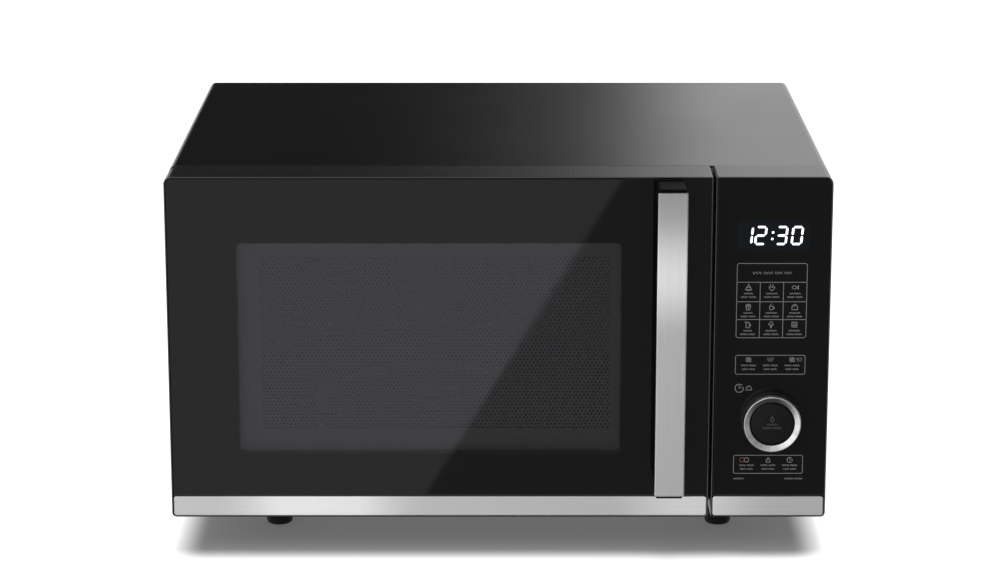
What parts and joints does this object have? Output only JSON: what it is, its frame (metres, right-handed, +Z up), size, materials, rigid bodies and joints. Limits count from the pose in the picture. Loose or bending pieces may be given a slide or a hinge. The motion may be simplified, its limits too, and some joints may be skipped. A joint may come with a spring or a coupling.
{
  "type": "microwave oven",
  "caption": "Countertop turntable microwave oven with grill, side-hinged glass door, bar handle, ring selector and digital display.",
  "frame": {"origin": "on the floor, in the middle of the bounding box", "axes": "+Z up, the door faces -Y, +X to the right as seen from the front"},
  "size_m": [0.44, 0.371, 0.258],
  "materials": {
    "black_paint": "semi-gloss powder coat with a fine grain",
    "black_plastic": "satin moulded plastic",
    "dark_matte_plastic": "matt moulded plastic",
    "black_glass": "polished glass printed black behind, darker than the window",
    "brushed_trim": "fine brushed, lacquered",
    "zinc_steel": "zinc plated, dull",
    "cavity_enamel": "grey cavity paint, smooth",
    "clear_glass": "clear, polished",
    "pale_plastic": "satin off-white plastic",
    "dark_rubber": "matt",
    "circuit_board": "lacquered board",
    "copper_winding": "enamelled copper wire",
    "laminated_iron": "varnished laminations",
    "heater_steel": "oxidised sheath",
    "mica": "pressed mica sheet, matt"
  },
  "bodies": {
    "root": {"air_guide": "dark_matte_plastic", "back_panel": "zinc_steel", "base_plate": "zinc_steel", "cabinet_wrap": "black_paint", "cavity_lamp": "clear_glass", "cavity_liner": "cavity_enamel", "control_board": "circuit_board", "control_fascia": "black_glass", "control_housing": "black_plastic", "cord_gland": "dark_rubber", "display_module": "black_plastic", "encoder_body": "dark_matte_plastic", "fan_motor": "laminated_iron", "fan_shroud": "dark_matte_plastic", "foot_front_left": "dark_rubber", "foot_front_right": "dark_rubber", "foot_rear_left": "dark_rubber", "foot_rear_right": "dark_rubber", "front_plate": "cavity_enamel", "grill_heater": "heater_steel", "grill_support": "zinc_steel", "hinge_lower": "zinc_steel", "hinge_upper": "zinc_steel", "hv_capacitor": "zinc_steel", "hv_diode": "dark_matte_plastic", "lamp_holder": "pale_plastic", "latch_bracket": "pale_plastic", "magnetron": "zinc_steel", "noise_filter": "circuit_board", "panel_trim_strip": "brushed_trim", "switch_lower": "dark_matte_plastic", "switch_monitor": "dark_matte_plastic", "switch_upper": "dark_matte_plastic", "thermal_cutout": "pale_plastic", "transformer_coils": "copper_winding", "transformer_core": "laminated_iron", "turntable_motor": "zinc_steel", "waveguide": "zinc_steel", "waveguide_cover": "mica"},
    "door": {"door_frame": "black_plastic", "door_glass": "black_glass", "door_screen": "zinc_steel", "door_choke_cover": "dark_matte_plastic", "door_inner_window": "clear_glass", "handle_core": "black_plastic", "handle_plate": "brushed_trim", "handle_screw_lower": "zinc_steel", "handle_screw_upper": "zinc_steel", "door_trim_strip": "brushed_trim"},
    "latch": {"door_latch": "pale_plastic", "latch_spring": "zinc_steel"},
    "knob": {"knob_ring": "brushed_trim"},
    "start_key": {"start_button": "black_plastic"},
    "turntable": {"turntable_coupler": "pale_plastic", "glass_turntable": "clear_glass"},
    "roller_carrier": {"roller_ring": "pale_plastic"},
    "wheel_1": {"roller_wheel_1": "pale_plastic"},
    "wheel_2": {"roller_wheel_2": "pale_plastic"},
    "wheel_3": {"roller_wheel_3": "pale_plastic"},
    "fan": {"fan_blade": "pale_plastic"}
  },
  "joints": [
    {"name": "door_hinge", "type": "hinge", "parent": "root", "child": "door", "pos_m": [-0.214, -0.1255, 0.1408], "axis": [0, 0, -1], "range_deg": [0, 100]},
    {"name": "latch_lift", "type": "slide", "parent": "door", "child": "latch", "axis": [0, 0, 1], "range_m": [0, 0.003], "stiffness_N_per_m": 200, "springref_m": -0.002, "deforming": ["latch_spring"]},
    {"name": "knob_turn", "type": "hinge", "parent": "root", "child": "knob", "pos_m": [0.1821, -0.1545, 0.092], "axis": [0, -1, 0], "continuous": true},
    {"name": "start_press", "type": "slide", "parent": "root", "child": "start_key", "axis": [0, 1, 0], "range_m": [0, 0.0015], "stiffness_N_per_m": 600, "springref_m": -0.001},
    {"name": "turntable_turn", "type": "hinge", "parent": "root", "child": "turntable", "pos_m": [-0.047, 0.028, 0.06], "axis": [0, 0, 1], "continuous": true},
    {"name": "ring_turn", "type": "hinge", "parent": "root", "child": "roller_carrier", "pos_m": [-0.047, 0.028, 0.052], "axis": [0, 0, 1], "continuous": true},
    {"name": "wheel_turn_1", "type": "hinge", "parent": "roller_carrier", "child": "wheel_1", "pos_m": [-0.047, 0.118, 0.052], "axis": [0, 1, 0], "continuous": true},
    {"name": "wheel_turn_2", "type": "hinge", "parent": "roller_carrier", "child": "wheel_2", "pos_m": [-0.12494, -0.017, 0.052], "axis": [-0.866, -0.5, 0], "continuous": true},
    {"name": "wheel_turn_3", "type": "hinge", "parent": "roller_carrier", "child": "wheel_3", "pos_m": [0.03094, -0.017, 0.052], "axis": [0.866, -0.5, 0], "continuous": true},
    {"name": "fan_turn", "type": "hinge", "parent": "root", "child": "fan", "pos_m": [0.166, 0.1575, 0.1925], "axis": [0, 1, 0], "continuous": true}
  ],
  "couplings": [
    {"joint": "ring_turn", "follows": "turntable_turn", "ratio": 0.5},
    {"joint": "wheel_turn_1", "follows": "turntable_turn", "ratio": -5.625},
    {"joint": "wheel_turn_2", "follows": "turntable_turn", "ratio": -5.625},
    {"joint": "wheel_turn_3", "follows": "turntable_turn", "ratio": -5.625}
  ]
}
